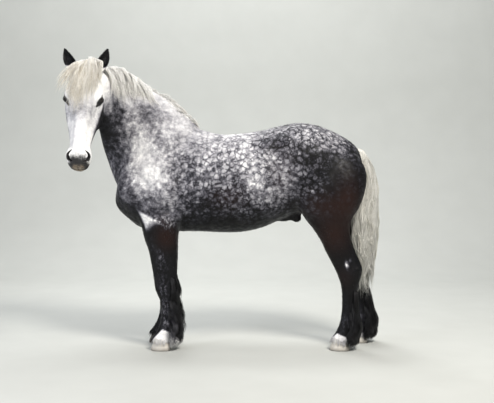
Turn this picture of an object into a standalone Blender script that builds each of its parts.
"""A dapple grey draft horse, standing square in profile with its head turned to its left.

Metres, +Z up. The horse faces -X and its left side faces -Y. The flesh is modelled whole,
as lofts and muscle forms run together, and then parted with thin cuts into named pieces.
"""

import math
import random

import bmesh
import bpy
import numpy as np
from mathutils import Matrix, Vector
from mathutils.bvhtree import BVHTree

# Driving sizes of the whole animal
WITHERS_HEIGHT = 1.61
CROUP_HEIGHT = 1.655
BELLY_HEIGHT = 0.845
CHEST_X = -0.975
BUTTOCK_X = 0.868
FOOT_SPREAD = 0.15
FAR_FORE_STEP = -0.045
FAR_HIND_STEP = 0.17
PART_GAP = 0.0003

# How finely the flesh is run together and how many faces it keeps
VOXEL = 0.013
FLESH_FACES = 3700
RING = 28

# The head's place: the poll, and the way the face looks
POLL = Vector((-1.105, -0.42, 2.045))
FACE_YAW = math.radians(5)
FACE_TILT = math.radians(20)
FACE_ROLL = math.radians(-3)
HEAD_SCALE = 1.05

LEFT, RIGHT = -1, 1
SIDES = ((LEFT, "left"), (RIGHT, "right"))

PAINT = {
    "coat_light": ((0.80, 0.80, 0.80), 0.65),
    "coat_dapple": ((0.42, 0.42, 0.44), 0.6),
    "coat_dark": ((0.06, 0.05, 0.05), 0.55),
    "hair_pale": ((0.78, 0.75, 0.66), 0.6),
    "hoof": ((0.75, 0.70, 0.62), 0.45),
    "eye": ((0.02, 0.012, 0.01), 0.1),
}


def clear_scene():
    for thing in list(bpy.data.objects):
        bpy.data.objects.remove(thing)


def new_collection(name):
    made = bpy.data.collections.new(name)
    bpy.context.scene.collection.children.link(made)
    return made


def paint(obj, name):
    colour, roughness = PAINT[name]
    material = bpy.data.materials.get(name)
    if material is None:
        material = bpy.data.materials.new(name)
        material.use_nodes = True
        shader = material.node_tree.nodes["Principled BSDF"]
        shader.inputs["Base Color"].default_value = (*colour, 1)
        shader.inputs["Roughness"].default_value = roughness
        shader.inputs["Metallic"].default_value = 0
    obj.data.materials.clear()
    obj.data.materials.append(material)


def even_rows(rows, count):
    """The table of sections read off a smooth curve through its rows, count rows in all."""
    rows = np.array(rows, float)
    padded = np.vstack([2 * rows[0] - rows[1], rows, 2 * rows[-1] - rows[-2]])
    at = np.linspace(0, len(rows) - 1, count)
    start = np.minimum(at.astype(int), len(rows) - 2)
    t = (at - start)[:, None]
    a, b, c, d = (padded[start + k] for k in range(4))
    return 0.5 * (
        2 * b + (c - a) * t + (2 * a - 5 * b + 4 * c - d) * t**2 + (3 * b - a - 3 * c + d) * t**3
    )


def mesh_object(name, points, faces, home):
    mesh = bpy.data.meshes.new(name)
    mesh.from_pydata([tuple(p) for p in points], [], faces)
    work = bmesh.new()
    work.from_mesh(mesh)
    bmesh.ops.recalc_face_normals(work, faces=work.faces)
    work.to_mesh(mesh)
    work.free()
    made = bpy.data.objects.new(name, mesh)
    home.objects.link(made)
    return made


def loft(name, rings, home):
    """A closed skin over a stack of rings with the same number of points."""
    rings = [np.array(ring, float) for ring in rings]
    count = len(rings[0])
    points = np.vstack([*rings, rings[0].mean(0), rings[-1].mean(0)])
    first_pole, last_pole = len(points) - 2, len(points) - 1
    faces = []
    for row in range(len(rings) - 1):
        for k in range(count):
            after = (k + 1) % count
            low, high = row * count, (row + 1) * count
            faces.append((low + k, low + after, high + after, high + k))
    top = (len(rings) - 1) * count
    for k in range(count):
        after = (k + 1) % count
        faces.append((first_pole, after, k))
        faces.append((last_pole, top + k, top + after))
    return mesh_object(name, points, faces, home)


def power(value, exponent):
    return np.sign(value) * np.abs(value) ** exponent


def ring_angles(count=RING):
    return np.linspace(0, 2 * math.pi, count, endpoint=False)


# Trunk sections: x, top, bottom, half width, height of the widest place, roundness of the top
TRUNK = (
    (-0.955, 1.22, 1.04, 0.09, 0.45, 2.0),
    (-0.92, 1.36, 1.0, 0.19, 0.42, 2.0),
    (-0.855, 1.46, 0.93, 0.25, 0.42, 2.0),
    (-0.77, 1.53, 0.875, 0.275, 0.42, 1.9),
    (-0.62, 1.585, 0.856, 0.285, 0.42, 1.7),
    (-0.50, 1.605, 0.852, 0.288, 0.42, 1.55),
    (-0.36, WITHERS_HEIGHT, 0.852, 0.30, 0.44, 1.6),
    (-0.20, 1.572, BELLY_HEIGHT, 0.327, 0.46, 1.85),
    (-0.05, 1.577, 0.847, 0.34, 0.46, 2.05),
    (0.10, 1.598, 0.876, 0.337, 0.46, 2.15),
    (0.22, 1.628, 0.925, 0.322, 0.46, 2.15),
    (0.31, 1.648, 0.962, 0.312, 0.48, 2.1),
    (0.40, CROUP_HEIGHT, 0.99, 0.308, 0.46, 2.1),
    (0.52, 1.636, 1.00, 0.30, 0.42, 2.1),
    (0.65, 1.585, 1.00, 0.275, 0.40, 2.1),
    (0.75, 1.528, 1.02, 0.225, 0.40, 2.1),
    (0.81, 1.475, 1.07, 0.16, 0.42, 2.0),
    (0.85, 1.40, 1.16, 0.08, 0.45, 2.0),
)

# Neck sections: centre x, y, z, then reach to the crest, reach to the throat, half width
NECK = (
    (-0.52, 0.0, 1.25, 0.34, 0.36, 0.20),
    (-0.64, 0.0, 1.40, 0.36, 0.385, 0.215),
    (-0.74, 0.0, 1.53, 0.335, 0.345, 0.18),
    (-0.845, -0.01, 1.66, 0.30, 0.285, 0.15),
    (-0.93, -0.06, 1.77, 0.255, 0.24, 0.13),
    (-1.0, -0.135, 1.855, 0.20, 0.20, 0.115),
    (-1.05, -0.22, 1.905, 0.142, 0.17, 0.106),
    (-1.08, -0.30, 1.94, 0.085, 0.14, 0.096),
)

# Head sections along the face from the poll: length, brow side, jaw side,
# then half widths of the brow, the middle and the jaw
HEAD = (
    (-0.02, -0.035, -0.13, 0.035, 0.055, 0.05),
    (0.02, 0.0, -0.16, 0.06, 0.08, 0.07),
    (0.09, 0.035, -0.215, 0.088, 0.108, 0.085),
    (0.17, 0.052, -0.265, 0.115, 0.126, 0.092),
    (0.25, 0.055, -0.292, 0.119, 0.132, 0.094),
    (0.33, 0.05, -0.285, 0.095, 0.124, 0.092),
    (0.41, 0.045, -0.24, 0.066, 0.106, 0.082),
    (0.49, 0.040, -0.185, 0.058, 0.085, 0.064),
    (0.56, 0.036, -0.150, 0.055, 0.072, 0.052),
    (0.62, 0.032, -0.134, 0.062, 0.076, 0.052),
    (0.665, 0.020, -0.128, 0.066, 0.084, 0.058),
    (0.70, -0.004, -0.124, 0.058, 0.072, 0.056),
    (0.725, -0.035, -0.108, 0.036, 0.05, 0.042),
)

# Leg sections: height, front, back, distance of the middle from the centre line, half width
FORELEG = (
    (1.20, -0.86, -0.50, 0.17, 0.085),
    (1.08, -0.85, -0.475, 0.175, 0.10),
    (0.98, -0.80, -0.475, 0.175, 0.105),
    (0.89, -0.755, -0.492, 0.168, 0.098),
    (0.80, -0.733, -0.499, 0.16, 0.085),
    (0.70, -0.707, -0.500, 0.155, 0.074),
    (0.60, -0.688, -0.504, 0.152, 0.064),
    (0.52, -0.676, -0.506, 0.15, 0.060),
    (0.455, -0.668, -0.496, 0.15, 0.062),
    (0.405, -0.652, -0.502, 0.15, 0.056),
    (0.35, -0.628, -0.518, 0.15, 0.043),
    (0.25, -0.622, -0.522, 0.15, 0.040),
    (0.195, -0.632, -0.524, 0.15, 0.050),
    (0.155, -0.645, -0.522, 0.15, 0.053),
    (0.115, -0.668, -0.545, 0.15, 0.050),
    (0.075, -0.697, -0.555, 0.15, 0.062),
    (0.03, -0.705, -0.56, 0.15, 0.064),
)

HINDLEG = (
    (1.42, 0.42, 0.80, 0.13, 0.075),
    (1.32, 0.36, 0.858, 0.145, 0.125),
    (1.22, 0.345, 0.866, 0.158, 0.145),
    (1.12, 0.35, 0.845, 0.162, 0.148),
    (1.03, 0.375, 0.808, 0.16, 0.138),
    (0.95, 0.418, 0.762, 0.155, 0.118),
    (0.88, 0.475, 0.748, 0.152, 0.098),
    (0.80, 0.528, 0.758, 0.15, 0.082),
    (0.72, 0.568, 0.785, 0.15, 0.068),
    (0.655, 0.602, 0.815, 0.15, 0.056),
    (0.59, 0.637, 0.838, 0.15, 0.053),
    (0.53, 0.662, 0.826, 0.15, 0.055),
    (0.46, 0.684, 0.805, 0.15, 0.047),
    (0.36, 0.690, 0.796, 0.15, 0.039),
    (0.26, 0.686, 0.793, 0.15, 0.040),
    (0.20, 0.676, 0.800, 0.15, 0.050),
    (0.155, 0.660, 0.798, 0.15, 0.052),
    (0.115, 0.638, 0.772, 0.15, 0.049),
    (0.075, 0.607, 0.760, 0.15, 0.061),
    (0.03, 0.598, 0.755, 0.15, 0.063),
)

# Swellings and hollows of the flesh: centre, radii, lean about Y in degrees, height of the swelling
MUSCLES = (
    ((-0.64, 0.24, 1.36), (0.16, 0.20, 0.30), 40, 0.020),
    ((-0.86, 0.20, 1.15), (0.13, 0.14, 0.14), 20, 0.026),
    ((-0.60, 0.27, 1.13), (0.18, 0.15, 0.15), -25, 0.024),
    ((-0.90, 0.10, 1.06), (0.13, 0.10, 0.14), -30, 0.016),
    ((-0.50, 0.22, 0.985), (0.06, 0.09, 0.07), 0, 0.012),
    ((-0.73, 0.19, 0.84), (0.08, 0.12, 0.13), -8, 0.010),
    ((-0.46, 0.28, 1.22), (0.06, 0.14, 0.24), 18, -0.012),
    ((0.47, 0.20, 1.50), (0.26, 0.24, 0.20), 12, 0.020),
    ((0.27, 0.27, 1.53), (0.08, 0.10, 0.06), 20, 0.014),
    ((0.20, 0.28, 1.36), (0.10, 0.14, 0.16), 0, -0.020),
    ((0.72, 0.22, 1.27), (0.13, 0.18, 0.26), -8, 0.022),
    ((0.40, 0.28, 1.08), (0.11, 0.12, 0.17), -12, 0.022),
    ((0.60, 0.25, 1.12), (0.05, 0.12, 0.22), -18, -0.010),
    ((0.60, 0.24, 0.86), (0.09, 0.10, 0.14), -30, 0.012),
)
SHEATH = ((0.345, 0.0, 0.955), (0.08, 0.05, 0.05), -20)

# Forms run into the head, in its own frame: across, out of the brow, up along the face
JOWL = ((0.070, -0.17, -0.27), (0.052, 0.115, 0.135))
BROW = ((0.078, 0.008, -0.235), (0.044, 0.045, 0.07))
NOSTRIL_RIM = ((0.056, -0.018, -0.64), (0.032, 0.034, 0.048))
CHIN = ((0.0, -0.112, -0.665), (0.048, 0.032, 0.038))

EYE_RADIUS = 0.026
EYE_PLACE = (0.096, -0.002, -0.262)
LID_MOUND = (0.0295, 0.044, 0.035)
LID_OPENING = (0.05, 0.0235, 0.0145)
NOSTRIL = ((0.068, 0.012, -0.665), (0.016, 0.03, 0.026))
EAR_ROOT = (0.072, -0.045, -0.03)
EAR_SPLAY = {LEFT: 24, RIGHT: 36}


def trunk_ring(x, top, bottom, half, widest, roundness):
    middle = bottom + widest * (top - bottom)
    ring = []
    for angle in ring_angles():
        across, up = math.cos(angle), math.sin(angle)
        squareness = roundness if up > 0 else 2.2
        reach = top - middle if up > 0 else middle - bottom
        y = half * power(across, 2 / squareness)
        z = middle + reach * power(up, 2 / squareness)
        ring.append((x, y, z))
    return ring


def make_trunk(home):
    rows = even_rows(TRUNK, 40)
    return loft("trunk", [trunk_ring(*row) for row in rows], home)


def neck_frames(count):
    """Centre, crest way, side way, crest reach, throat reach and half width at even steps up the neck."""
    rows = even_rows(NECK, count)
    centres = rows[:, :3]
    along = np.gradient(centres, axis=0)
    frames = []
    for row, way in zip(rows, along):
        forward = Vector(way).normalized()
        up = Vector((0, 0, 1))
        crest = (up - up.dot(forward) * forward).normalized()
        side = forward.cross(crest)
        frames.append((Vector(row[:3]), crest, side, *row[3:]))
    return frames


def neck_point(frame, angle, lift=0.0):
    """A point lifted off the neck: angle 90 degrees is the crest, -90 the throat, 0 the far side."""
    centre, crest, side, up_reach, down_reach, half = frame
    across, up = math.cos(angle), math.sin(angle)
    reach = up_reach if up > 0 else down_reach
    pinch = 1 - 0.48 * up * up if up > 0 else 1 - 0.15 * up * up
    return centre + crest * (up * (reach + lift)) + side * (across * (half * pinch + lift))


def make_neck(home):
    frames = neck_frames(22)
    rings = [[neck_point(frame, angle) for angle in ring_angles()] for frame in frames]
    return loft("neck_form", rings, home)


def head_frame():
    """The head's own frame: X to its right cheek, Y out of its brow, Z up along the face to the poll."""
    turn = Matrix.Rotation(math.pi + FACE_YAW, 4, "Z")
    tilt = Matrix.Rotation(FACE_TILT, 4, "X")
    roll = Matrix.Rotation(FACE_ROLL, 4, "Y")
    return Matrix.Translation(POLL) @ turn @ tilt @ roll @ Matrix.Scale(HEAD_SCALE, 4)


def head_ring(along, brow, jaw, brow_half, middle_half, jaw_half):
    ring = []
    for angle in ring_angles():
        back = (1 - math.cos(angle)) / 2
        width = np.interp(back, (0.1, 0.45, 0.85), (brow_half, middle_half, jaw_half))
        rounding = (1 - abs(2 * back - 1) ** 2.9) ** (1 / 2.9)
        across = math.copysign(width * rounding, math.sin(angle))
        ring.append((across, brow + back * (jaw - brow), -along))
    return ring


def make_head(home):
    rows = even_rows(HEAD, 30)
    return loft("head_form", [head_ring(*row) for row in rows], home)


def leg_ring(height, front, back, off_centre, half, side, step):
    middle, reach = (front + back) / 2, (back - front) / 2
    ring = []
    for angle in ring_angles(20):
        x = middle + step + reach * power(math.cos(angle), 2 / 2.3)
        y = side * off_centre + half * power(math.sin(angle), 2 / 2.3)
        ring.append((x, y, height))
    return ring


def leg_swing(height):
    """How much of a leg's step it has taken at a height: none at the hip or shoulder, all at the foot."""
    return float(np.interp(height, (0.1, 0.3, 0.55, 0.8, 1.15), (1.0, 0.85, 0.62, 0.45, 0.0)))


def make_leg(name, table, side, step, home):
    rows = even_rows(table, 44)
    rings = [leg_ring(*row, side, step * leg_swing(row[0])) for row in rows]
    return loft(name, rings, home)


def steps_of(side):
    """How far the left and right feet stand from the drawn ones, fore and hind."""
    return (FAR_FORE_STEP, FAR_HIND_STEP) if side == RIGHT else (0.0, 0.0)


def ellipsoid(name, centre, radii, home, turn=None, around=20):
    work = bmesh.new()
    bmesh.ops.create_uvsphere(work, u_segments=around, v_segments=around // 2, radius=1)
    mesh = bpy.data.meshes.new(name)
    work.to_mesh(mesh)
    work.free()
    turn = turn or Matrix()
    mesh.transform(Matrix.Translation(centre) @ turn @ Matrix.Diagonal((*radii, 1)))
    made = bpy.data.objects.new(name, mesh)
    home.objects.link(made)
    return made


def mirrored(centre, side):
    """The head's right cheek is on its own +X, so a form on its left is mirrored."""
    return (centre[0] * side, centre[1], centre[2])


def flesh_forms(home):
    lean = Matrix.Rotation(math.radians(SHEATH[2]), 4, "Y")
    forms = [make_trunk(home), make_neck(home), ellipsoid("sheath_form", SHEATH[0], SHEATH[1], home, lean)]
    for side, word in SIDES:
        fore_step, hind_step = steps_of(side)
        forms.append(make_leg("foreleg_form_" + word, FORELEG, side, fore_step, home))
        forms.append(make_leg("hindleg_form_" + word, HINDLEG, side, hind_step, home))
    head = [make_head(home), ellipsoid("chin_form", *CHIN, home)]
    for side, word in SIDES:
        for label, (centre, radii) in (("jowl", JOWL), ("brow", BROW), ("rim", NOSTRIL_RIM)):
            head.append(ellipsoid(f"{label}_{word}", mirrored(centre, side), radii, home))
    place = head_frame()
    for form in head:
        form.data.transform(place)
    return forms + head


def swell(obj):
    """Pushes the flesh out or in along its normals where the muscles lie."""
    mesh = obj.data
    count = len(mesh.vertices)
    points, normals = np.empty(count * 3), np.empty(count * 3)
    mesh.vertices.foreach_get("co", points)
    mesh.vertices.foreach_get("normal", normals)
    points, normals = points.reshape(-1, 3), normals.reshape(-1, 3)
    push = np.zeros(count)
    for side, _ in SIDES:
        fore_step, hind_step = steps_of(side)
        for centre, radii, lean, height in MUSCLES:
            step = (hind_step if centre[0] > 0 else fore_step) * leg_swing(centre[2])
            away = points - (centre[0] + step, side * centre[1], centre[2])
            turn = math.radians(lean)
            along = away[:, 0] * math.cos(turn) - away[:, 2] * math.sin(turn)
            up = away[:, 0] * math.sin(turn) + away[:, 2] * math.cos(turn)
            reach = (along / radii[0]) ** 2 + (away[:, 1] / radii[1]) ** 2 + (up / radii[2]) ** 2
            push += height * np.clip(1 - reach, 0, 1) ** 2
    mesh.vertices.foreach_set("co", (points + normals * push[:, None]).ravel())
    mesh.update()


def join(objects, name):
    """One object holding all the meshes."""
    work = bmesh.new()
    for obj in objects:
        work.from_mesh(obj.data)
    mesh = bpy.data.meshes.new(name)
    work.to_mesh(mesh)
    work.free()
    home = objects[0].users_collection[0]
    for obj in objects:
        bpy.data.objects.remove(obj)
    made = bpy.data.objects.new(name, mesh)
    home.objects.link(made)
    return made


def settle(obj):
    """Applies an object's modifiers."""
    graph = bpy.context.evaluated_depsgraph_get()
    mesh = bpy.data.meshes.new_from_object(obj.evaluated_get(graph))
    obj.modifiers.clear()
    obj.data = mesh
    return obj


def run_together(forms, name):
    """The forms as one smooth closed skin with few faces."""
    body = join(forms, name)
    remesh = body.modifiers.new("remesh", "REMESH")
    remesh.mode = "VOXEL"
    remesh.voxel_size = VOXEL
    smooth = body.modifiers.new("smooth", "SMOOTH")
    smooth.factor = 0.5
    smooth.iterations = 7
    settle(body)
    swell(body)
    thin = body.modifiers.new("thin", "DECIMATE")
    thin.ratio = FLESH_FACES / (2 * len(body.data.polygons))
    thin.use_collapse_triangulate = True
    return settle(body)


def is_closed(obj):
    work = bmesh.new()
    work.from_mesh(obj.data)
    bmesh.ops.triangulate(work, faces=work.faces)
    closed = len(work.faces) > 0 and all(len(edge.link_faces) == 2 for edge in work.edges)
    work.free()
    return closed


def nudge(obj, attempt, size):
    """Shifts a tool a little, so that no edges coincide."""
    angle = 2.4 * attempt
    shift = Vector((math.cos(angle), math.sin(angle), math.sin(2 * angle))) * size
    obj.data.transform(Matrix.Translation(shift))


def triangulate(obj):
    """Makes every face a triangle, so that both solids of a cut are flat faced."""
    work = bmesh.new()
    work.from_mesh(obj.data)
    bmesh.ops.triangulate(work, faces=work.faces)
    work.to_mesh(obj.data)
    work.free()


def boolean(obj, other, operation):
    """Cuts or fuses two solids, by either solver, until the result comes out closed."""
    triangulate(obj)
    triangulate(other)
    before = obj.data
    for attempt in range(12):
        obj.data = before.copy()
        cut = obj.modifiers.new("cut", "BOOLEAN")
        cut.operation = operation
        cut.solver = ("EXACT", "MANIFOLD")[attempt % 2]
        cut.object = other
        settle(obj)
        if is_closed(obj):
            break
        nudge(other, attempt, 0.00004)
    return obj


def keep_largest(obj):
    """Drops every closed surface but the largest."""
    work = bmesh.new()
    work.from_mesh(obj.data)
    unseen = set(work.faces)
    pieces = []
    while unseen:
        stack = [unseen.pop()]
        piece = set(stack)
        while stack:
            for edge in stack.pop().edges:
                for face in edge.link_faces:
                    if face in unseen:
                        unseen.remove(face)
                        piece.add(face)
                        stack.append(face)
        pieces.append(piece)
    pieces.sort(key=lambda piece: sum(face.calc_area() for face in piece))
    spare = [face for piece in pieces[:-1] for face in piece]
    bmesh.ops.delete(work, geom=spare, context="FACES")
    bmesh.ops.triangulate(work, faces=work.faces)
    work.to_mesh(obj.data)
    work.free()
    return obj


def copy_of(obj, name):
    made = bpy.data.objects.new(name, obj.data.copy())
    obj.users_collection[0].objects.link(made)
    return made


def grown(obj, name, margin=PART_GAP):
    """A copy with its skin moved out."""
    made = copy_of(obj, name)
    work = bmesh.new()
    work.from_mesh(made.data)
    steps = [vertex.normal * margin * 1.2 * min(4.0, vertex.calc_shell_factor()) for vertex in work.verts]
    for vertex, step in zip(work.verts, steps):
        vertex.co += step
    work.to_mesh(made.data)
    work.free()
    return made


def block(name, point, normal, home, size=3.0):
    """A large box with one face through the point, lying on the normal's side of it."""
    work = bmesh.new()
    bmesh.ops.create_cube(work, size=size)
    mesh = bpy.data.meshes.new(name)
    work.to_mesh(mesh)
    work.free()
    mesh.transform(Matrix.Translation((0, 0, size / 2)))
    normal = Vector(normal).normalized()
    mesh.transform(Matrix.Translation(point) @ normal.to_track_quat("Z", "Y").to_matrix().to_4x4())
    made = bpy.data.objects.new(name, mesh)
    home.objects.link(made)
    return made


def prism(name, outline, start, stop, home):
    """A solid with an outline in Y and Z, running along X."""
    points = [(x, y, z) for x in (start, stop) for y, z in outline]
    count = len(outline)
    faces = [tuple(range(count)), tuple(range(2 * count - 1, count - 1, -1))]
    for k in range(count):
        after = (k + 1) % count
        faces.append((k, k + count, after + count, after))
    return mesh_object(name, points, faces, home)


def part_off(body, cutter, name):
    """Splits the body along a cutter, given as a maker that takes how far its faces stand out."""
    inner, outer = cutter(0.0), cutter(PART_GAP)
    piece = boolean(copy_of(body, name), inner, "INTERSECT")
    boolean(body, outer, "DIFFERENCE")
    for tool in (inner, outer):
        bpy.data.objects.remove(tool)
    keep_largest(body)
    return keep_largest(piece)


# The cuts between the pieces
HEAD_CUT = ((-0.050, 0.15), (-0.353, -0.36), (-0.353, -0.9), (0.5, -0.9), (0.5, 0.15))
NECK_CUT = ((-0.37, 0.0, 1.64), (-0.597, 0.0, 0.80))
FORELEG_CUT = (0.79, 0.571, -1.2, -0.44)
HINDLEG_CUT = (0.90, 0.467, 0.392, 1.4)
KNEE_CUT = 0.40
HOCK_CUT = 0.47


def head_block(home):
    def make(margin):
        outline = [(y - margin, z) for y, z in HEAD_CUT]
        made = prism("head_block", outline, -0.26, 0.26, home)
        made.data.transform(head_frame())
        return made

    return make


def neck_block(home):
    point, normal = Vector(NECK_CUT[0]), Vector(NECK_CUT[1]).normalized()
    return lambda margin: block("neck_block", point - normal * margin, normal, home)


def leg_block(cut, side, home):
    height, slope, start, stop = cut

    def make(margin):
        outline = [
            (0.0, -0.5),
            (0.0, height + margin * 1.2),
            (side * 0.8, height + slope * 0.8 + margin * 1.2),
            (side * 0.8, -0.5),
        ]
        return prism("leg_block", outline, start - margin, stop + margin, home)

    return make


def floor_block(height, home):
    return lambda margin: block("floor_block", Vector((0, 0, height + margin)), (0, 0, -1), home, 4.0)


# Hooves: middle x of each drawn foot, then height, toe reach, heel reach and half width
FORE_FOOT = -0.622
HIND_FOOT = 0.677
HOOF = (
    (0.0, 0.078, 0.070, 0.071),
    (0.012, 0.077, 0.070, 0.071),
    (0.05, 0.062, 0.064, 0.063),
    (0.10, 0.042, 0.058, 0.053),
)
CORONET = (0.0, 0.068, 0.30)


def foot_place(pair, side):
    fore_step, hind_step = steps_of(side)
    middle = FORE_FOOT + fore_step if pair == "fore" else HIND_FOOT + hind_step
    return Vector((middle, side * FOOT_SPREAD, 0))


def make_hoof(name, pair, side, home):
    place = foot_place(pair, side)
    rings = []
    for height, toe, heel, half in HOOF:
        ring = []
        for angle in ring_angles(16):
            reach = toe if math.cos(angle) > 0 else heel
            squareness = 2.1 if math.cos(angle) > 0 else 2.7
            x = -reach * power(math.cos(angle), 2 / squareness)
            y = half * power(math.sin(angle), 2 / squareness)
            ring.append((place.x + x, place.y + y, height))
        rings.append(ring)
    return loft(name, rings, home)


def coronet_block(place, margin, upward, home):
    """The half space below the coronet, or above it: the band is high in front and low at the heel."""
    point = place + Vector((CORONET[0], 0, CORONET[1] - margin))
    normal = Vector((CORONET[2], 0, 1)).normalized()
    return block("coronet_block", point, normal if upward else -normal, home, 0.9)


DOWN = Vector((0, 0, -1))


def surface_of(objects):
    """A search tree over the skins that hair lies on."""
    points, faces = [], []
    for obj in objects:
        start = len(points)
        points += [vertex.co.copy() for vertex in obj.data.vertices]
        faces += [tuple(start + k for k in face.vertices) for face in obj.data.polygons]
    return BVHTree.FromPolygons(points, faces)


def drape(tree, root, way, length, steps, lift, weight, sway=Vector(), cling=0.0):
    """A path from the root that turns down and stays just off the skin, with its outward normals."""
    place, way = root.copy(), way.normalized()
    path, normals = [place.copy()], [tree.find_nearest(place)[1]]
    for step in range(1, steps + 1):
        way = (way + DOWN * weight + sway * math.sin(step * 1.3)).normalized()
        before, place = place, place + way * (length / steps)
        near, normal, _, _ = tree.find_nearest(place)
        height = (place - near).dot(normal)
        clear = lift * min(1.0, 0.3 + step / 2)
        if height < clear:
            place = place + normal * (clear - height)
            way = (place - before).normalized()
        elif cling:
            place = place - normal * (height - clear) * cling
            way = (place - before).normalized()
        path.append(place.copy())
        share = 1.0 if height < 0.05 else 0.3
        normals.append((normals[-1] * (1 - share) + normal * share).normalized())
    return path, normals


def lock(name, path, normals, width, thickness, home):
    """A flat lock of hair: widest a third of the way down, then drawn out to a point."""
    last = len(path) - 1
    points, faces = [], []
    for number, (place, normal) in enumerate(zip(path, normals)):
        along = path[min(number + 1, last)] - path[max(number - 1, 0)]
        side = along.cross(normal).normalized()
        out = side.cross(along).normalized()
        share = number / last
        if number == last:
            points.append(place)
            break
        spread = 0.5 * width * min(1.0, 0.6 + 1.5 * share) * (1 - share**3.2)
        depth = 0.5 * thickness * (1 - 0.6 * share)
        points += [place + side * spread, place + out * depth, place - side * spread, place - out * depth]
    for row in range(last - 1):
        for k in range(4):
            after = (k + 1) % 4
            low, high = row * 4, row * 4 + 4
            faces.append((low + k, low + after, high + after, high + k))
    tip, rim = len(points) - 1, (last - 1) * 4
    faces += [(rim + k, rim + (k + 1) % 4, tip) for k in range(4)]
    faces.append((3, 2, 1, 0))
    return mesh_object(name, points, faces, home)


def union_with(obj, locks, solver):
    """The object and all the locks as one solid, by one union on their collection."""
    bundle = bpy.data.collections.new("locks")
    bpy.context.scene.collection.children.link(bundle)
    for piece in locks:
        bundle.objects.link(piece)
    union = obj.modifiers.new("union", "BOOLEAN")
    union.operation = "UNION"
    union.solver = solver
    union.use_self = True
    union.operand_type = "COLLECTION"
    union.collection = bundle
    settle(obj)
    bpy.data.collections.remove(bundle)
    return keep_largest(obj)


def fuse_locks(obj, locks):
    """Fuses the locks, and tries again with them nudged if the result isn't closed."""
    for piece in [obj, *locks]:
        triangulate(piece)
    before = obj.data
    for attempt in range(8):
        obj.data = before.copy()
        union_with(obj, locks, ("EXACT", "MANIFOLD")[attempt % 2])
        if is_closed(obj):
            break
        for number, piece in enumerate(locks):
            nudge(piece, attempt + number, 0.0008)
    for piece in locks:
        bpy.data.objects.remove(piece)
    return obj


# Mane locks: how many, where along the neck from the withers to the poll, length at each end,
# width, lift off the skin, and the way they leave the crest (towards the far side is +1)
MANE_LAYERS = (
    (8, 0.05, 0.88, 0.26, 0.48, 0.125, 0.006, 1),
    (6, 0.12, 0.86, 0.24, 0.58, 0.110, 0.020, 1),
    (2, 0.86, 1.0, 0.12, 0.17, 0.080, 0.006, 1),
    (6, 0.50, 1.0, 0.15, 0.23, 0.085, 0.008, -1),
    (4, 0.02, 0.50, 0.10, 0.15, 0.085, 0.007, -1),
)
# The one long lock on the near side
LONG_LOCK = (0.66, 0.36, 0.05)
NECK_STEPS = 44


def mane_root(share, tilt):
    frames = neck_frames(NECK_STEPS)
    at = NECK_STEPS * (0.20 + 0.75 * share)
    frame = frames[min(int(at), NECK_STEPS - 1)]
    return frame, neck_point(frame, math.radians(90 - tilt), -0.012)


def mane_locks(skin, home):
    chance = random.Random(11)
    tree = surface_of(skin)
    locks = []
    for layer, (count, start, stop, short, long, width, lift, turn) in enumerate(MANE_LAYERS):
        for number in range(count):
            share = start + (stop - start) * (number + chance.uniform(0.2, 0.8)) / count
            frame, root = mane_root(share, turn * chance.uniform(2, 12))
            _, crest, side, *_ = frame
            back = Vector((0.35, 0, 0)) * chance.uniform(0.2, 1.2)
            way = side * turn + crest * 0.35 + back
            length = (short + (long - short) * share) * chance.uniform(0.85, 1.12)
            sway = side.cross(DOWN) * chance.uniform(-0.35, 0.35)
            path, normals = drape(tree, root, way, length, 5 if layer < 2 else 4, lift, 0.6, sway)
            wide = width * chance.uniform(0.8, 1.15)
            locks.append(lock(f"mane_{layer}_{number}", path, normals, wide, 0.02, home))
    share, length, width = LONG_LOCK
    frame, root = mane_root(share, -8)
    path, normals = drape(tree, root, frame[1] * 0.3 - frame[2], length, 6, 0.014, 0.5)
    locks.append(lock("mane_long", path, normals, width, 0.02, home))
    return locks


# Forelock locks: root across the poll, way they fan in degrees (image left is +), length, width
FORELOCK = (
    (0.042, 36, 0.33, 0.075),
    (0.031, 27, 0.40, 0.080),
    (0.018, 17, 0.40, 0.080),
    (0.004, 7, 0.37, 0.080),
    (-0.010, -5, 0.35, 0.075),
    (-0.024, -19, 0.29, 0.070),
    (-0.038, -38, 0.22, 0.060),
)


def forelock_locks(head, home):
    tree = surface_of([head])
    place = head_frame()
    turn = place.to_3x3().normalized()
    locks = []
    for number, (across, fan, length, width) in enumerate(FORELOCK):
        root = place @ Vector((across, -0.03, -0.012 * (number % 2)))
        angle = math.radians(fan)
        way = turn @ Vector((0.9 * math.sin(angle), 0.75, 0.9))
        drift = turn @ Vector((1, 0, 0)) * (0.011 * math.sin(angle))
        lift = 0.009 + 0.007 * (number % 3)
        path, normals = drape(tree, root, way, length, 5, lift, 0.85, cling=0.4)
        path = [point + drift * step for step, point in enumerate(path)]
        locks.append(lock(f"forelock_{number}", path, normals, width, 0.02, home))
    return locks


# Tail core sections from the dock down: middle x, z, half depth, half width
TAIL = (
    (0.775, 1.465, 0.03, 0.035),
    (0.835, 1.44, 0.036, 0.04),
    (0.868, 1.36, 0.042, 0.05),
    (0.893, 1.24, 0.05, 0.06),
    (0.905, 1.10, 0.06, 0.066),
    (0.907, 0.95, 0.066, 0.068),
    (0.90, 0.80, 0.064, 0.064),
    (0.893, 0.66, 0.052, 0.054),
    (0.885, 0.53, 0.036, 0.042),
    (0.878, 0.43, 0.02, 0.028),
    (0.874, 0.36, 0.006, 0.009),
)
TAIL_ROWS = 13


def tail_ring(x, z, depth, half, count=10):
    ring = []
    for angle in ring_angles(count):
        out = depth * math.cos(angle)
        ring.append((x + out, half * math.sin(angle), z + 0.25 * out))
    return ring


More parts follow.
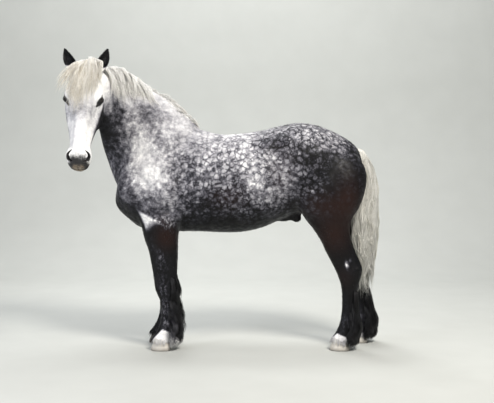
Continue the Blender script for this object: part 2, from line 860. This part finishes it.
def tail_locks(core, home):
    chance = random.Random(23)
    tree = surface_of([core])
    rows = even_rows(TAIL, TAIL_ROWS)
    locks = []
    for number in range(12):
        x, z, depth, half = rows[2 + (number * 3) % 7]
        angle = number * 2.4 + chance.uniform(-0.3, 0.3)
        root = Vector((x + 0.8 * depth * math.cos(angle), 0.8 * half * math.sin(angle), z))
        out = Vector((math.cos(angle), math.sin(angle), 0))
        ends = chance.uniform(0.34, 0.62)
        length = max(0.28, min(0.75, z - ends))
        sway = out.cross(DOWN) * chance.uniform(-0.3, 0.3)
        path, normals = drape(tree, root, out * 0.8 + DOWN, length, 6, 0.016, 0.9, sway, 0.45)
        width = chance.uniform(0.085, 0.115)
        locks.append(lock(f"tail_{number}", path, normals, width, 0.03, home))
    return locks


def make_tail(name, home):
    rings = [tail_ring(*row) for row in even_rows(TAIL, TAIL_ROWS)]
    core = loft(name, rings, home)
    return fuse_locks(core, tail_locks(core, home))


# Feather locks: height of the root, turn about the leg from straight back in degrees, length
FEATHER = (
    (0.365, 4, 0.15), (0.27, -26, 0.17), (0.26, 30, 0.17), (0.195, 2, 0.18), (0.17, -62, 0.16),
    (0.17, 62, 0.16), (0.12, 100, 0.10), (0.12, -100, 0.10),
)


def feather_locks(lower, hoof, pair, side, home):
    table = FORELEG if pair == "fore" else HINDLEG
    step = steps_of(side)[0 if pair == "fore" else 1]
    heights = [row[0] for row in table][::-1]
    chance = random.Random(3 + len(lower.name) + side)
    tree = surface_of([lower, hoof])
    locks = []
    for number, (height, turn, length) in enumerate(FEATHER):
        front, back, half = (np.interp(height, heights, [row[k] for row in table][::-1]) for k in (1, 2, 4))
        angle = math.radians(turn + chance.uniform(-6, 6))
        out = Vector((math.cos(angle), math.sin(angle), 0))
        middle = Vector(((front + back) / 2 + step * leg_swing(height), side * FOOT_SPREAD, height))
        root = middle + Vector((out.x * (back - front) * 0.42, out.y * half * 0.85, 0))
        flare = 1.1 * max(0.25, math.cos(angle))
        long = length * chance.uniform(0.9, 1.08)
        path, normals = drape(tree, root, out * flare + DOWN, long, 4, 0.012, 0.28)
        path = [Vector((p.x, p.y, max(p.z, 0.006))) for p in path]
        locks.append(lock(f"feather_{number}", path, normals, chance.uniform(0.08, 0.095), 0.028, home))
    return locks


# Ear sections: height, half width, depth, drift outwards
EAR = (
    (0.0, 0.026, 0.040, 0.0),
    (0.03, 0.033, 0.046, 0.0),
    (0.07, 0.037, 0.042, 0.002),
    (0.11, 0.033, 0.033, 0.002),
    (0.145, 0.021, 0.021, -0.003),
    (0.168, 0.010, 0.010, -0.009),
    (0.180, 0.003, 0.003, -0.012),
)


def make_ear(name, side, home):
    """A cupped ear: the back of each ring is round and its front is hollow."""
    rings = []
    for height, half, depth, drift in EAR:
        wall = 0.42 if height > 0.02 else 1.5
        ring = []
        for angle in np.linspace(0, math.pi, 7):
            ring.append((half * math.cos(angle) + drift, -depth * math.sin(angle), height))
        for angle in np.linspace(math.pi, 0, 7)[1:-1]:
            inner = -depth * (1 - wall) * math.sin(angle) ** 1.5
            ring.append((half * 0.93 * math.cos(angle) + drift, inner, height))
        rings.append(ring)
    ear = loft(name, rings, home)
    splay = EAR_SPLAY[side]
    turn = Matrix.Rotation(math.radians(splay), 4, "Y") @ Matrix.Rotation(math.radians(-28), 4, "Z")
    turn = turn @ Matrix.Rotation(math.radians(8), 4, "X")
    ear.data.transform(Matrix.Translation(EAR_ROOT) @ turn)
    if side == LEFT:
        ear.data.transform(Matrix.Diagonal((-1, 1, 1, 1)))
        ear.data.flip_normals()
    ear.data.transform(head_frame())
    return ear


def eye_turn(side):
    """Turns a form at the eye to look out sideways and a little forward."""
    return Matrix.Rotation(math.radians(20) * side, 4, "Z") @ Matrix.Rotation(math.radians(-12) * side, 4, "Y")


def carve_eye(head, side, home):
    """Lids proud of the eyeball, a socket for it and an almond opening between the lids."""
    place = head_frame()
    centre = mirrored(EYE_PLACE, side)
    turn = eye_turn(side)
    mound = ellipsoid("lid_mound", centre, LID_MOUND, home, turn, 14)
    socket = ellipsoid("socket", centre, (EYE_RADIUS,) * 3, home, turn, 16)
    middle = (EYE_PLACE[0] + 0.018, EYE_PLACE[1], EYE_PLACE[2])
    opening = ellipsoid("lid_opening", mirrored(middle, side), LID_OPENING, home, turn, 12)
    for form in (mound, socket, opening):
        form.data.transform(place)
    boolean(head, mound, "UNION")
    grown_socket = grown(socket, "grown_socket")
    for tool in (grown_socket, opening):
        boolean(head, tool, "DIFFERENCE")
    for tool in (mound, socket, grown_socket, opening):
        bpy.data.objects.remove(tool)


def make_eye(name, side, home):
    eye = ellipsoid(name, mirrored(EYE_PLACE, side), (EYE_RADIUS,) * 3, home, eye_turn(side), 16)
    eye.data.transform(head_frame())
    return eye


def carve_nostril(head, side, home):
    centre, radii = NOSTRIL
    turn = Matrix.Rotation(math.radians(28) * side, 4, "Y")
    tool = ellipsoid("nostril", mirrored(centre, side), radii, home, turn, 12)
    tool.data.transform(head_frame())
    boolean(head, tool, "DIFFERENCE")
    bpy.data.objects.remove(tool)


# The line of the mouth: along the face, out of the brow, then half its width
MOUTH = ((0.60, -0.082, 0.105), (0.64, -0.076, 0.105), (0.68, -0.072, 0.105), (0.78, -0.072, 0.105))


def carve_mouth(head, home):
    rings = []
    for along, out, half in MOUTH:
        low = out - 0.003
        rings.append([(-half, out, -along), (half, out, -along), (half, low, -along), (-half, low, -along)])
    tool = loft("mouth", rings, home)
    tool.data.transform(head_frame())
    boolean(head, tool, "DIFFERENCE")
    bpy.data.objects.remove(tool)


def finish_head(head, home):
    for side, _ in SIDES:
        carve_eye(head, side, home)
        carve_nostril(head, side, home)
    carve_mouth(head, home)
    return keep_largest(head)


def clear_of(obj, neighbours):
    """Cuts an object clear of its neighbours, so that a thin gap is left."""
    for neighbour in neighbours:
        for tool in (grown(neighbour, "clearance"), copy_of(neighbour, "core")):
            boolean(obj, tool, "DIFFERENCE")
            bpy.data.objects.remove(tool)
    return keep_largest(obj)


def leg_pieces(body, pair, side, word, home):
    """Upper leg, lower leg with its feather, and hoof."""
    cut, split = (FORELEG_CUT, KNEE_CUT) if pair == "fore" else (HINDLEG_CUT, HOCK_CUT)
    upper = part_off(body, leg_block(cut, side, home), f"{pair}leg_{word}_upper")
    lower = part_off(upper, floor_block(split, home), f"{pair}leg_{word}_lower")
    place = foot_place(pair, side)
    ending = coronet_block(place, 0.0, False, home)
    boolean(lower, ending, "DIFFERENCE")
    hoof = make_hoof(f"hoof_{pair}_{word}", pair, side, home)
    roof = coronet_block(place, PART_GAP, True, home)
    boolean(hoof, roof, "DIFFERENCE")
    for tool in (ending, roof):
        bpy.data.objects.remove(tool)
    keep_largest(lower)
    keep_largest(hoof)
    fuse_locks(lower, feather_locks(lower, hoof, pair, side, home))
    clear_of(lower, [hoof, upper])
    return [upper, lower, hoof]


def main():
    clear_scene()
    home = new_collection("draft_horse")
    body = run_together(flesh_forms(home), "torso")
    head = part_off(body, head_block(home), "head")
    neck = part_off(body, neck_block(home), "neck")
    legs = []
    for side, word in SIDES:
        for pair in ("fore", "hind"):
            legs += leg_pieces(body, pair, side, word, home)
    fuse_locks(head, forelock_locks(head, home))
    finish_head(head, home)
    ears = [make_ear("ear_" + word, side, home) for side, word in SIDES]
    eyes = [make_eye("eye_" + word, side, home) for side, word in SIDES]
    for ear in ears:
        clear_of(ear, [head, neck])
    fuse_locks(neck, mane_locks([neck, body, head], home))
    clear_of(neck, [head, body] + ears)
    tail = make_tail("tail", home)
    clear_of(tail, [body] + [leg for leg in legs if leg.name.startswith("hindleg")])
    paint_all([body], "coat_dapple")
    paint_all([head, neck], "coat_light")
    paint_all([leg for leg in legs if "leg" in leg.name] + ears, "coat_dark")
    paint_all([leg for leg in legs if "hoof" in leg.name], "hoof")
    paint_all([tail], "hair_pale")
    paint_all(eyes, "eye")
    stand_at_origin([body, head, neck, tail] + legs + eyes + ears)


def paint_all(objects, name):
    for obj in objects:
        paint(obj, name)


def stand_at_origin(objects):
    """Puts the middle of the whole animal's box over the origin, with its lowest point at z = 0."""
    points = np.array([tuple(vertex.co) for obj in objects for vertex in obj.data.vertices])
    low, high = points.min(0), points.max(0)
    shift = Vector(((low[0] + high[0]) / -2, (low[1] + high[1]) / -2, -low[2]))
    for obj in objects:
        obj.data.transform(Matrix.Translation(shift))


main()
